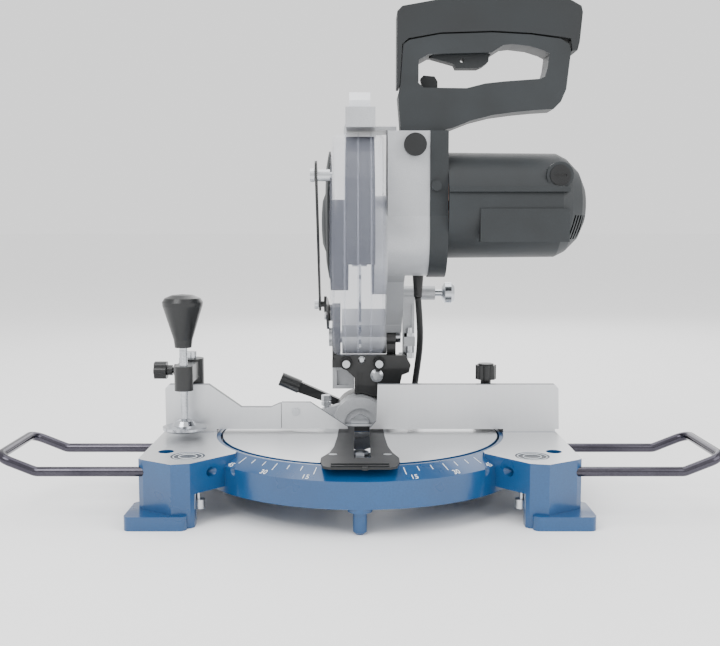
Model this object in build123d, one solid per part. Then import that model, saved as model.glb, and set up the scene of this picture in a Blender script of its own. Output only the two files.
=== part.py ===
"""Compact 210 mm compound mitre saw on its cast base.

Frame: origin on the mitre pivot axis at floor level, +X right, +Y to the rear, +Z up.
The front face of the fence is the plane y = 0. Sizes are in millimetres.
"""

from build123d import *
import math
import os

os.makedirs("parts", exist_ok=True)

# ---- driving dimensions -------------------------------------------------------------
TABLE_Z = 60.0            # machined table surface above the floor
PLATE = 6.0               # thickness of the machined plates of table and wings
TABLE_R = 142.0           # turntable radius
RING_GAP = 2.5            # gap between turntable and base ring
RING_R = 168.0            # outside of the base ring
RING_FOOT_Z = 25.0        # lower edge of the base ring
WING_X = 205.0            # outer side of a wing
WING_FRONT = 145.0        # front corner of a wing, in front of the fence
WING_REAR = 126.0         # rear edge of a wing, behind the fence
WALL = 6.0                # casting wall of the base
FOOT_H = 13.0             # height of a bolt-down foot
FOOT_X = 214.0            # outer side of a foot
BOLT_X = 191.0            # bench bolt holes, from the middle
BOLT_Y = 118.0            # bench bolt holes, in front of and behind the mitre axis
BOLT_R = 4.5
POST_R = 6.25             # front support post
POST_Y = -157.0
BAR_R = 4.5               # extension bar wire
BAR_Z = 48.0
BAR_FRONT_Y = -122.0
BAR_REAR_Y = -22.0
BAR_REACH = 335.0         # outer end of an extension bar
BAR_RISE = 14.0           # the outer end of a bar rises to table height
BAR_FIT = 0.1             # radial slide clearance of the bars
PIVOT_R = 6.0             # mitre pivot bolt
FIT = 0.05                # radial running clearance of shafts
PLAY = 0.4                # side play between moving bodies
CLAMP_X, CLAMP_Y = -179.0, -25.0    # clamp spindle
CLAMP_POST_Y = 22.0       # clamp post, behind the fence
CLAMP_POST_R = 5.5
CLAMP_ARM_Z = 121.0       # middle of the clamp arm
SLOT_LEFT, SLOT_RIGHT = 6.0, 10.0   # saw slot in the insert, each side of the blade
FENCE_H = 50.0            # tall fence above the table
FENCE_T = 8.0
FENCE_RAISE = 3.0         # gap under the fence over the turntable
BEVEL_HUB_R = 29.0        # bevel hub radius, its axis lies in the table surface
HUB_FRONT = 43.0          # front face of the fixed bevel hub
HUB_T = 32.0              # length of the fixed bevel hub
ARM_HUB_T = 34.0          # length of the tilting hub
BEVEL_BOLT_R = 6.0
BADGE = (161.0, -111.0)    # round badge sunk in the wing top
BADGE_SUNK = 1.2
CHOP_Y, CHOP_Z = 95.0, 150.0        # chop hinge
CHOP_SHAFT_R = 7.0
EAR_R = 20.0
BLADE_Y, BLADE_Z = -10.0, 255.0     # blade centre, head raised
BLADE_R = 105.0
BLADE_T = 2.4
BORE_R = 15.0
GUARD_R = 112.0           # outside of the lower guard
GUARD_WALL = 2.0
GUARD_LEFT, GUARD_RIGHT = -28.0, 24.5
INNER_R = 108.5           # outside of the fixed inner guard
NECK_R = 50.0             # neck that carries the inner guard and the lower guard
SPOUT_R = 18.0            # dust outlet, outside
GEAR_MODULE, GEAR_TEETH, PINION_TEETH = 1.25, 42, 22
GEARBOX_X0, GEARBOX_X1 = 27.0, 68.0
MOTOR_X0, MOTOR_X1 = 86.0, 226.0
MOTOR_R = 53.0
HANDLE_Y, HANDLE_T = -22.0, 34.0
CORD_R = 3.5
BOX_TOP = 366.0           # top of the gearbox, where the handle stands

CENTRE_DISTANCE = GEAR_MODULE * (GEAR_TEETH + PINION_TEETH) / 2
MOTOR_Z = BLADE_Z + CENTRE_DISTANCE
TABLE_UNDER = TABLE_Z - PLATE
RING_IN = TABLE_R + RING_GAP
HUB_BACK = HUB_FRONT + HUB_T
ARM_BACK = HUB_BACK + PLAY + ARM_HUB_T
FENCE_Z = TABLE_Z + FENCE_RAISE
FENCE_TOP = TABLE_Z + FENCE_H


# ---- shape helpers -------------------------------------------------------------------
def save(name, *solids):
    """Writes the solids of one node."""
    found = [solid for piece in solids for solid in piece.solids()]
    group = found[0] if len(found) == 1 else Compound(children=found)
    export_step(group, "parts/" + name + ".step")


def block(x, y, z):
    """A box from three pairs of limits."""
    size = (x[1] - x[0], y[1] - y[0], z[1] - z[0])
    low = (Align.MIN, Align.MIN, Align.MIN)
    return Pos(x[0], y[0], z[0]) * Box(*size, align=low)


def rod(start, direction, radius, length):
    """A cylinder from a start point along a direction."""
    base = (Align.CENTER, Align.CENTER, Align.MIN)
    return Plane(origin=start, z_dir=direction) * Cylinder(radius, length, align=base)


def tube(start, direction, outer, inner, length):
    """A plain tube from a start point along a direction."""
    return rod(start, direction, outer, length) - rod(start, direction, inner, length)


def turned(start, direction, profile):
    """A turned piece; the profile lists (radius, height) along the direction."""
    face = Plane.XZ * make_face(Polyline(*profile, close=True))
    return Plane(origin=start, z_dir=direction) * revolve(face, Axis.Z)


def prism_x(outline, x0, x1):
    """An outline of (y, z) points carried from x0 to x1."""
    return extrude(Plane.YZ.offset(x0) * make_face(Polyline(*outline, close=True)), x1 - x0)


def prism_y(outline, y0, y1):
    """An outline of (x, z) points carried from y0 to y1."""
    return extrude(Plane.XZ.offset(-y1) * make_face(Polyline(*outline, close=True)), y1 - y0)


def prism_z(outline, z0, z1):
    """An outline of (x, y) points carried from z0 to z1."""
    return extrude(Plane.XY.offset(z0) * make_face(Polyline(*outline, close=True)), z1 - z0)


def bolt(start, direction, shank_r, length, head_r, head_h, hexagon=False):
    """A bolt whose head stands behind the start point and whose shank goes along direction."""
    shank = rod(start, direction, shank_r, length)
    plane = Plane(origin=start, z_dir=direction).offset(-head_h)
    shape = RegularPolygon(head_r, 6) if hexagon else Circle(head_r)
    return extrude(plane * shape, head_h) + shank


def mirrored(shape):
    """The shape on the other side of the saw."""
    return mirror(shape, Plane.YZ)


def polar(centre, radius, degrees):
    """A point of the (y, z) plane at an angle from +Y towards +Z."""
    a = math.radians(degrees)
    return (centre[0] + radius * math.cos(a), centre[1] + radius * math.sin(a))


# ---- base ----------------------------------------------------------------------------
def wing():
    """The right wing: machined plate, skirt and two bolt-down feet."""
    fy = -WING_FRONT
    outline = [(130, WING_REAR), (WING_X, WING_REAR), (WING_X, fy + 24), (WING_X - 5, fy + 19),
               (171, fy), (154, fy + 4), (118, -100), (118, 0)]
    inner = [(136, WING_REAR - WALL), (WING_X - WALL, WING_REAR - WALL), (WING_X - WALL, fy + 27),
             (WING_X - 12, fy + 22), (171, fy + WALL), (158, fy + 9), (126, -96), (126, 0)]
    shell = prism_z(outline, 0, TABLE_Z) - prism_z(inner, -1, TABLE_UNDER)
    arch = block((60, WING_X + 20), (-88, 88), (-1, 26)) + block((60, WING_X + 20), (-80, 80), (25, 34))
    rear_arch = block((120, 180), (WING_REAR - 20, WING_REAR + 5), (-1, 30))
    front_arch = block((60, 151), (fy - 5, fy + 60), (-1, RING_FOOT_Z + 6))
    shell -= arch + rear_arch + front_arch
    for y0, y1 in ((fy - 5, -98), (98, WING_REAR + 6)):
        foot = block((157, FOOT_X), (y0, y1), (0, FOOT_H))
        shell += fillet(foot.edges().filter_by(Axis.Z), 6)
    for y in (BAR_FRONT_Y, BAR_REAR_Y):
        shell += block((146, 154), (y - 9, y + 9), (BAR_Z - 9, TABLE_UNDER + 1))
    return shell


def base_casting():
    """Ring, two wings, a crossing spider and the bores of the bars, bolts and posts."""
    ring = turned((0, 0, 0), (0, 0, 1), [
        (RING_IN, 38), (RING_IN, TABLE_Z - 0.8), (148, TABLE_Z - 0.8), (RING_R, 50),
        (RING_R, RING_FOOT_Z), (RING_R - WALL, RING_FOOT_Z), (RING_R - WALL, 38)])
    right = wing() - rod((0, 0, -5), (0, 0, 1), RING_IN + 4, 80)
    hub = rod((0, 0, 6), (0, 0, 1), 24, 16)
    spider = Part()
    for angle in (0, 60, 120, 180):
        bar = block((10, RING_R - 3), (-5, 5), (8, 20))
        rise = block((RING_R - 16, RING_R - 1), (-5, 5), (8, 37))
        spider += Rot(0, 0, angle) * (bar + rise)
    casting = ring + right + mirrored(right) + hub + spider
    boss = rod((0, POST_Y, RING_FOOT_Z - 4), (0, 0, 1), 11, 20)
    casting += boss
    casting -= rod((0, 0, 0), (0, 0, 1), PIVOT_R + FIT, 40)
    casting -= rod((0, POST_Y, 0), (0, 0, 1), POST_R, 36)
    casting -= rod((0, 0, 22), (0, 0, 1), 24 + 1, 40)
    for side in (-1, 1):
        for y, inner in ((BAR_FRONT_Y, 116), (BAR_REAR_Y, 143)):
            casting -= rod((side * inner, y, BAR_Z), (side, 0, 0), BAR_R + BAR_FIT, 100)
        for y in (BOLT_Y, -BOLT_Y):
            casting -= rod((side * BOLT_X, y, -1), (0, 0, 1), BOLT_R, 40)
        casting -= rod((side * CLAMP_X, CLAMP_POST_Y, 30), (0, 0, 1), CLAMP_POST_R + FIT, 60)
        casting -= rod((side * 185, -92, 40), (0, 0, 1), 7.5, 40)
        casting -= rod((side * BADGE[0], BADGE[1], TABLE_Z - BADGE_SUNK), (0, 0, 1), 16.1, 4)
    groove = block((140, 212), (-1.6, -0.6), (TABLE_Z - 0.6, TABLE_Z + 1))
    casting -= groove + mirrored(groove)
    return casting


def extension_bar():
    """The right U-shaped bar, with its rounded corners, rising to table height."""
    path = FilletPolyline(
        (160, BAR_FRONT_Y, BAR_Z), (300, BAR_FRONT_Y, BAR_Z),
        (BAR_REACH, BAR_FRONT_Y, BAR_Z + BAR_RISE), (BAR_REACH, BAR_REAR_Y, BAR_Z + BAR_RISE),
        (300, BAR_REAR_Y, BAR_Z), (188, BAR_REAR_Y, BAR_Z), radius=12)
    return sweep(Plane(origin=path @ 0, z_dir=path % 0) * Circle(BAR_R), path=path)


# ---- turntable -----------------------------------------------------------------------
def turntable():
    """Machined disc with skirt, hub and ribs, cut for the saw slot and the bevel hub."""
    disc = rod((0, 0, TABLE_UNDER), (0, 0, 1), TABLE_R, PLATE)
    skirt = tube((0, 0, 39), (0, 0, 1), TABLE_R, TABLE_R - 7, TABLE_Z - 40)
    hub = rod((0, 0, 22 + PLAY), (0, 0, 1), 22, 11)
    body = disc + skirt + hub
    for angle in (0, 38, 142, 180, 218, 322):
        spoke = block((12, TABLE_R - 4), (-4, 4), (24, 33))
        rib = block((48, TABLE_R - 4), (-4, 4), (24, TABLE_UNDER + 1))
        body += Rot(0, 0, angle) * (spoke + rib)
    body -= block((-INSERT_BACK_X, INSERT_BACK_X), (-INSERT_FRONT, INSERT_REAR), (34, 80))
    body -= prism_z(insert_outline(0.3), TABLE_Z - INSERT_T, 80)
    body -= block((-BEVEL_HUB_R - 5, BEVEL_HUB_R + 5), (HUB_FRONT - 1, TABLE_R + 5), (20, 80))
    body -= rod((0, 0, 0), (0, 0, 1), PIVOT_R + FIT, 60)
    return body


INSERT_T = 4.0
INSERT_FRONT, INSERT_REAR = 131.0, 28.0
INSERT_BACK_X = 21.0


def insert_outline(gap):
    """The flared outline of the kerf insert, grown by a gap."""
    left = [(-22, INSERT_REAR), (-23, -25), (-25, -70), (-29, -98), (-36, -118)]
    right = [(36, -118), (31, -98), (27, -70), (25, -25), (24, INSERT_REAR)]
    sides = [(x - gap if x < 0 else x + gap, y) for x, y in left + right]
    sides[0] = (sides[0][0], INSERT_REAR + gap)
    sides[-1] = (sides[-1][0], INSERT_REAR + gap)
    return sides[:5] + [(-36 - gap, -TABLE_R - 1), (36 + gap, -TABLE_R - 1)] + sides[5:]


def kerf_insert():
    """Black insert, slotted for the blade, its front lip lying over the ring."""
    body = prism_z(insert_outline(0), TABLE_Z - INSERT_T, TABLE_Z + 0.4)
    body = body & rod((0, 0, 40), (0, 0, 1), TABLE_R, 40)
    lip = [(-35, -139), (35, -139), (35, -147), (33, -161), (27, -165), (-27, -165), (-33, -161), (-35, -147)]
    body += prism_z(lip, TABLE_Z + 0.4, TABLE_Z + 2.6)
    body += block((-33, 33), (-140, -124), (TABLE_Z - 0.5, TABLE_Z + 2.6))
    for y in (-163, -155):
        body += block((-26, 26), (y, y + 2), (TABLE_Z + 2, TABLE_Z + 3.6))
    body += block((2, 7), (-168, -160), (TABLE_Z + 0.4, TABLE_Z + 3))
    body -= block((-SLOT_LEFT, SLOT_RIGHT), (-128, INSERT_REAR - 4), (40, 80))
    for x, y in INSERT_SCREWS:
        body -= rod((x, y, 40), (0, 0, 1), 2.0, 40)
        body -= rod((x, y, TABLE_Z - 1.2), (0, 0, 1), 4.2, 4)
    return body


INSERT_SCREWS = [(-16.5, 18), (19, 18), (-25.5, -104), (26, -104)]


def insert_screws():
    """Four small screws that hold the insert."""
    return [rod((x, y, TABLE_Z - 1.2), (0, 0, 1), 4.0, 1.4) + rod((x, y, TABLE_Z - 4), (0, 0, 1), 1.9, 3)
            for x, y in INSERT_SCREWS]


def bevel_trunnion():
    """Fixed bevel hub, standing on the turntable with two lugs and a stop ear."""
    axis = (0, 1, 0)
    hub = rod((0, HUB_FRONT, TABLE_Z), axis, BEVEL_HUB_R, HUB_T)
    hub += block((24, 47), (HUB_BACK - 14, HUB_BACK), (TABLE_Z, TABLE_Z + 9))
    hub += prism_y([(-43.5, TABLE_Z), (-42.5, TABLE_Z + 12), (-18, TABLE_Z + 19), (-18, TABLE_Z)],
                   HUB_BACK - 14, HUB_BACK)
    hub -= rod((0, HUB_FRONT - 1, TABLE_Z), axis, BEVEL_BOLT_R + FIT, HUB_T + 2)
    hub -= rod((0, HUB_FRONT - 1, TABLE_Z), axis, 17, 5)
    hub -= rod((*BEVEL_STOP, TABLE_Z + 6), (0, 0, 1), 3, 30)
    for x, y in TRUNNION_BOLTS:
        hub -= rod((x, y, TABLE_Z - 1), (0, 0, 1), 3.0, 12)
    return hub


TRUNNION_BOLTS = [(39, HUB_BACK - 7)]
BEVEL_STOP = (-37.5, HUB_BACK - 7)


# ---- fence and clamp -----------------------------------------------------------------
def fence_plate(outline, foot_x, foot_top=8.0):
    """An upright fence plate with a foot behind it that bolts down on the wing."""
    plate = prism_y(outline, 0, FENCE_T)
    plate += block(foot_x, (0, 34), (TABLE_Z, TABLE_Z + foot_top))
    web = [(FENCE_T - 1, TABLE_Z + 4), (30, TABLE_Z + 4), (FENCE_T - 1, TABLE_Z + 30)]
    for x in (foot_x[0] + 1, foot_x[1] - 7):
        plate += prism_x(web, x, x + 6)
    return plate


def fence_left():
    """Tall left fence stepping down towards the blade."""
    z, top = FENCE_Z, FENCE_TOP
    low = TABLE_Z + 26
    outline = [(-203, z), (-203, top - 4), (-199, top), (-158, top), (-124, low), (-93, low),
               (-84, low + 4), (-82.5, low + 4), (-82.5, z)]
    return fence_plate(outline, (-202, -150)) - clamp_clearance()


def clamp_clearance():
    """The clamp post's holes through the feet of both fences."""
    hole = rod((CLAMP_X, CLAMP_POST_Y, 40), (0, 0, 1), CLAMP_POST_R + FIT, 60)
    return hole + mirrored(hole)


def fence_middle():
    """Low fence plate between the tall left fence and the saw slot."""
    z = FENCE_Z
    outline = [(-82, z), (-82, TABLE_Z + 31), (-52, TABLE_Z + 31), (-13, z + 2), (-13, z)]
    plate = prism_y(outline, 1.0, FENCE_T - 1)
    plate += block((-146, -70), (FENCE_T, FENCE_T + 3.5), (z, z + 16))
    plate += block((-82, -70), (FENCE_T - 2, FENCE_T + 1), (z, z + 16))
    plate -= rod((-67, -1, TABLE_Z + 21), (0, 1, 0), 3.0, 20)
    return plate


def fence_right():
    """Tall right fence with the tongue that reaches towards the saw slot."""
    z, top = FENCE_Z, FENCE_TOP
    outline = [(10, z), (17, z + 8), (18.5, top), (203, top), (207, top - 4), (208, z)]
    plate = fence_plate(outline, (150, 204)) - clamp_clearance()
    plate += block((KNOB_X - 11, 152), (FENCE_T - 1, 32), (FENCE_Z, FENCE_Z + 8))
    return plate - rod((KNOB_X, KNOB_Y, 40), (0, 0, 1), KNOB_STUD_R + FIT, 60)


KNOB_X, KNOB_Y = 133.5, 20.0
KNOB_Z = 113.0            # low enough for the motor to pass over it at 45 degrees
KNOB_STUD_R = 4.0
FENCE_SCREWS = (-164.0, 163.0, 191.0)


def fence_knob():
    """Star knob on a stud that locks the right fence."""
    knob = Part()
    for k in range(8):
        a = math.radians(45 * k)
        knob += rod((KNOB_X + 7 * math.cos(a), KNOB_Y + 7 * math.sin(a), KNOB_Z), (0, 0, 1), 4, 15)
    knob += rod((KNOB_X, KNOB_Y, KNOB_Z), (0, 0, 1), 8, 16.5)
    knob += rod((KNOB_X, KNOB_Y, KNOB_Z - 7), (0, 0, 1), 5.5, 8)
    return knob + rod((KNOB_X, KNOB_Y, FENCE_Z + 1), (0, 0, 1), KNOB_STUD_R, KNOB_Z - FENCE_Z)


def clamp_post():
    """Bright post standing in the left wing."""
    return rod((CLAMP_X, CLAMP_POST_Y, 32), (0, 0, 1), CLAMP_POST_R, 110)


def clamp_arm():
    """Black arm from the post forward to the threaded boss."""
    z = CLAMP_ARM_Z
    arm = rod((CLAMP_X, CLAMP_POST_Y, z - 14), (0, 0, 1), 13, 28)
    arm += block((CLAMP_X - 9, CLAMP_X + 9), (CLAMP_Y, CLAMP_POST_Y), (z - 5, z + 12))
    arm += rod((CLAMP_X, CLAMP_Y, z - 13), (0, 0, 1), 9.5, 25)
    arm += rod((CLAMP_X - 10, CLAMP_POST_Y, z + 1), (-1, 0, 0), 6.5, 8)
    arm -= rod((CLAMP_X, CLAMP_POST_Y, z - 20), (0, 0, 1), CLAMP_POST_R + FIT, 40)
    arm -= rod((CLAMP_X, CLAMP_Y, z - 20), (0, 0, 1), SPINDLE_R + FIT, 40)
    arm -= rod((CLAMP_X - 4, CLAMP_POST_Y, z + 1), (-1, 0, 0), 3 + FIT, 16)
    return arm


SPINDLE_R = 4.0


def clamp_spindle():
    """Threaded spindle with a ball end."""
    return rod((CLAMP_X, CLAMP_Y, TABLE_Z + 13), (0, 0, 1), SPINDLE_R, 92)


def clamp_pad():
    """Round pressure pad with a raised middle."""
    z = TABLE_Z + 7
    return turned((CLAMP_X, CLAMP_Y, z), (0, 0, 1), [
        (0, 0), (20, 0), (22, 1.5), (22, 4), (12, 5.5), (9, 10), (SPINDLE_R + 0.3, 12), (SPINDLE_R + 0.3, 6), (0, 6)])


def clamp_knob():
    """Tall fluted knob on top of the spindle."""
    z = TABLE_Z + 92
    body = turned((CLAMP_X, CLAMP_Y, z), (0, 0, 1), [
        (0, 14), (SPINDLE_R, 14), (SPINDLE_R, 0), (8.5, 0), (9.5, 8), (20, 42), (20.5, 46), (18, 50), (11, 53), (0, 54)])
    for k in range(10):
        a = math.radians(36 * k)
        lean = (0.28 * math.cos(a), 0.28 * math.sin(a), 1)
        body -= rod((CLAMP_X + 12.5 * math.cos(a), CLAMP_Y + 12.5 * math.sin(a), z + 6), lean, 2, 60)
    return body


def clamp_lock_knob():
    """Lobed side knob that locks the arm on its post."""
    x, z = CLAMP_X - 20, CLAMP_ARM_Z + 1
    knob = rod((x, CLAMP_POST_Y, z), (-1, 0, 0), 5.5, 7)
    for k in range(6):
        a = math.radians(60 * k)
        knob += rod((x - 6, CLAMP_POST_Y + 5.5 * math.cos(a), z + 5.5 * math.sin(a)), (-1, 0, 0), 4.2, 13)
    knob += rod((x - 6, CLAMP_POST_Y, z), (-1, 0, 0), 6, 13)
    return knob + rod((CLAMP_X - 5.8, CLAMP_POST_Y, z), (-1, 0, 0), 3, 16)


# ---- tilting arm ---------------------------------------------------------------------
CHOP = (CHOP_Y, CHOP_Z)
EAR_LEFT = (-31.0, -22.0)
EAR_RIGHT = (30.0, 40.0)
ARM_TOP = 133.0
BEAM_TOP = 127.0
LEVER_Y, LEVER_Z = -5.0, 194.5      # pivot of the guard lever
LEVER_X = (-42.0, -40.0)
LEVER_REACH = 158.0
LEVER_PIN_R = 3.0
GUARD_PIN = (-86.0, 321.2)          # stud of the lower guard that runs in the lever
PIN_Y, PIN_Z = 90.0, 200.0          # transport pin, parallel to X
PIN_R = 4.0


def tilt_arm():
    """Black arm: bevel hub, body plate, cross beam and the clevis of the chop hinge."""
    y0 = HUB_BACK + PLAY
    hub = rod((0, y0, TABLE_Z), (0, 1, 0), BEVEL_HUB_R, ARM_HUB_T)
    face = [(-29, ARM_TOP), (50, ARM_TOP), (56, 122), (54, 114), (46.5, 111), (44, 100), (33, 88), (-6, 86), (-6, 108), (-29, 130)]
    plate = prism_y(face, 60, y0 + 8) - rod((0, 50, TABLE_Z), (0, 1, 0), BEVEL_HUB_R + 1.5, y0 - 50)
    back = [(-6, 62), (-6, 120), (44, 120), (44, 100), (26, 62)]
    arm = hub + plate + prism_y(back, y0, ARM_BACK)
    arm -= block((-40, 60), (71, 90), (BEAM_TOP, 140))
    arm += block((EAR_LEFT[0], 52), (70, ARM_BACK), (118, BEAM_TOP))
    for x0, x1 in (EAR_LEFT, EAR_RIGHT):
        stem = [(78, 119), (75.5, CHOP_Z), (CHOP_Y + EAR_R, CHOP_Z), (ARM_BACK, 119)]
        arm += prism_x(stem, x0, x1) + rod((x0, CHOP_Y, CHOP_Z), (1, 0, 0), EAR_R, x1 - x0)
    arm += prism_x([(84, 160), (84, 184), (88, 188), (98, 188), (104, 184), (106, 160)], *EAR_LEFT)
    arm -= rod((-60, CHOP_Y, CHOP_Z), (1, 0, 0), CHOP_SHAFT_R, 120)
    arm -= rod((0, 40, TABLE_Z), (0, 1, 0), BEVEL_BOLT_R + FIT, 90)
    arm -= prism_y([(-3, 88), (-3, 114), (3, 114), (3, 88)], 59, 63)
    for x, z, shank in ARM_STUDS:
        arm -= rod((x, 59, z), (0, 1, 0), shank, 12)
    return arm


ARM_STUDS = [(-15, 124.5, 2.5), (21, 124.5, 2.5), (2, 128, 2.0), (18.5, 111, 3.0)]


def arm_bumpers():
    """Two rubber bumpers on the face of the arm, each with a bore for its screw."""
    return [tube((x, 51.5, z), (0, 1, 0), 6.5, 2.5, 8.5) for x, z, _ in ARM_STUDS[:2]]


def arm_screws():
    """Bumper screws, the small cross-head screw and the domed clamping bolt."""
    pieces = []
    for (x, z, shank), head, deep in zip(ARM_STUDS, (4.2, 4.2, 4.0, 7.0), (11.0, 11.0, 3.0, 6.0)):
        dome = turned((x, 60, z), (0, -1, 0), [(0, 0), (head, 0), (head, deep - 2), (head * 0.6, deep), (0, deep)])
        if deep > 10:
            dome = rod((x, 51.5, z), (0, -1, 0), head, 2.5) + rod((x, 50, z), (0, 1, 0), shank, 12)
        pieces.append(dome + rod((x, 59.5, z), (0, 1, 0), shank, 11))
    return pieces


def rear_brace():
    """Grey rib block behind the left side of the arm."""
    return block((-31, -6.5), (84, 106), (92, 117.6)) - block((-26, -12), (83, 90), (96, 113))


def chop_shaft():
    """Headed shaft of the chop hinge."""
    return bolt((EAR_LEFT[0], CHOP_Y, CHOP_Z), (1, 0, 0), CHOP_SHAFT_R, 77, 11, 4)


def bevel_bolt():
    """Bevel pivot bolt, its nut recessed in the front of the fixed hub."""
    shank = rod((0, HUB_FRONT + 1, TABLE_Z), (0, 1, 0), BEVEL_BOLT_R, ARM_BACK + 12 - HUB_FRONT)
    nut = Plane(origin=(0, HUB_FRONT + 0.5, TABLE_Z), z_dir=(0, 1, 0)) * RegularPolygon(11, 6)
    return shank + extrude(nut, 3.4)


def bevel_lock_lever():
    """Lever that clamps the bevel from behind."""
    y = ARM_BACK + 2
    hub = rod((0, y, TABLE_Z), (0, 1, 0), 14, 14)
    arm = prism_y([(-8, TABLE_Z), (8, TABLE_Z), (-72, TABLE_Z + 36), (-76, TABLE_Z + 24)], y + 3, y + 12)
    grip = rod((-70, y + 7.5, TABLE_Z + 28.5), (-0.92, 0, 0.39), 8, 24)
    return hub + arm + grip - rod((0, y - 1, TABLE_Z), (0, 1, 0), BEVEL_BOLT_R + FIT, 13.5)


def bevel_washer():
    """Washer under the lock lever."""
    return tube((0, ARM_BACK, TABLE_Z), (0, 1, 0), 14, BEVEL_BOLT_R + FIT, 2)


def lever_bracket():
    """Steel plate from the left ear forward to the pivot of the guard lever."""
    x0, x1 = -37.0, -34.4
    plate = prism_x([(100, 186), (104, 168), (80, 160), (50, 178), (-5, 186.5), (-11, 194), (-5, 202.5), (50, 196)],
                    x0, x1)
    for y, z in BRACKET_BOLTS:
        plate += rod((x1, y, z), (1, 0, 0), 6, EAR_LEFT[0] - x1)
    for y, z in BRACKET_BOLTS:
        plate -= rod((x0 - 1, y, z), (1, 0, 0), 2.5, 12)
    return plate + rod((LEVER_X[0] - 1, LEVER_Y, LEVER_Z), (1, 0, 0), LEVER_PIN_R, 6)


BRACKET_BOLTS = [(92, 174), (96, 180.5)]


def bracket_bolts():
    """Bolts of the lever bracket and the cap nut of the lever pivot."""
    bolts = [bolt((-37, BRACKET_BOLTS[0][0], BRACKET_BOLTS[0][1]), (1, 0, 0), 2.5, 6.0, 4.5, 3)]
    nut = rod((LEVER_X[0] - 0.6, LEVER_Y, LEVER_Z), (-1, 0, 0), 5, 4)
    return bolts + [nut - rod((LEVER_X[0] + 1, LEVER_Y, LEVER_Z), (-1, 0, 0), LEVER_PIN_R, 2.6)]


def guard_lever():
    """Slotted lever; the stud of the lower guard runs in its slot."""
    across = 7.0
    start = (LEVER_X[0], LEVER_Y, LEVER_Z)
    dy, dz = GUARD_PIN[0] - LEVER_Y, GUARD_PIN[1] - LEVER_Z
    reach = math.hypot(dy, dz)
    frame = Plane(origin=start, x_dir=(0, dy / reach, dz / reach), z_dir=(1, 0, 0))
    thick = LEVER_X[1] - LEVER_X[0]
    body = Pos(LEVER_REACH / 2, 0) * SlotOverall(LEVER_REACH + 2 * across, 2 * across)
    slot = Pos((56 + LEVER_REACH - 4) / 2, 0) * SlotOverall(LEVER_REACH - 60 + 9, 9)
    lever = extrude(frame * (body - slot), thick)
    return lever - rod((start[0] - 1, LEVER_Y, LEVER_Z), (1, 0, 0), LEVER_PIN_R + FIT, 6)


def stop_bracket():
    """Grey bracket on the arm that carries the transport pin and the depth stop."""
    post = block((48, 61), (PIN_Y - 7, PIN_Y + 7), (BEAM_TOP, PIN_Z - 3))
    post += block((44, 61), (PIN_Y - 7, PIN_Y + 7), (BEAM_TOP, BEAM_TOP + 5))
    post += rod((48, PIN_Y, PIN_Z), (1, 0, 0), 8, 36)
    post += block((49, 61), (70, PIN_Y), (142, 152))
    post -= rod((40, PIN_Y, PIN_Z), (1, 0, 0), PIN_R + FIT, 50)
    post -= rod((55, 77, 130), (0, 0, 1), 3, 40)
    post -= block((51, 58), (PIN_Y - 8, PIN_Y - 5), (160, 188))
    return post


def depth_stop_screw():
    """Depth stop screw with its lock nut."""
    screw = rod((55, 77, 134), (0, 0, 1), 3, 28)
    head = extrude(Plane.XY.offset(128) * Pos(55, 77) * RegularPolygon(5.5, 6), 6)
    nut = extrude(Plane.XY.offset(152) * Pos(55, 77) * RegularPolygon(5.5, 6), 4)
    return screw + head + nut


def transport_pin():
    """Spring-loaded pin that locks the head down."""
    return rod((48, PIN_Y, PIN_Z), (1, 0, 0), PIN_R, 46)


def transport_knob():
    """Half-dome pull knob of the transport pin."""
    return turned((92, PIN_Y, PIN_Z), (1, 0, 0), [(PIN_R, 0), (7, 0), (12, 3), (12, 10), (9, 13.5), (0, 14), (0, 2), (PIN_R, 2)])


# ---- head ----------------------------------------------------------------------------
ARM_X = (28.0, 46.0)
WEB_FAR = 126.0           # the web of the head arm, measured from the blade axis
BARREL_X = (-20.0, 29.5)


def gearbox_outline(grow=0.0):
    """Side outline of the gearbox: a round lower end under a square top."""
    z = BLADE_Z + 13
    r = 44 + grow
    lower = Pos(BLADE_Y, z) * Circle(r)
    upper = Pos(BLADE_Y - 4, (z + BOX_TOP) / 2) * Rectangle(2 * 37 + 2 * grow, BOX_TOP - z)
    return lower + upper


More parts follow.
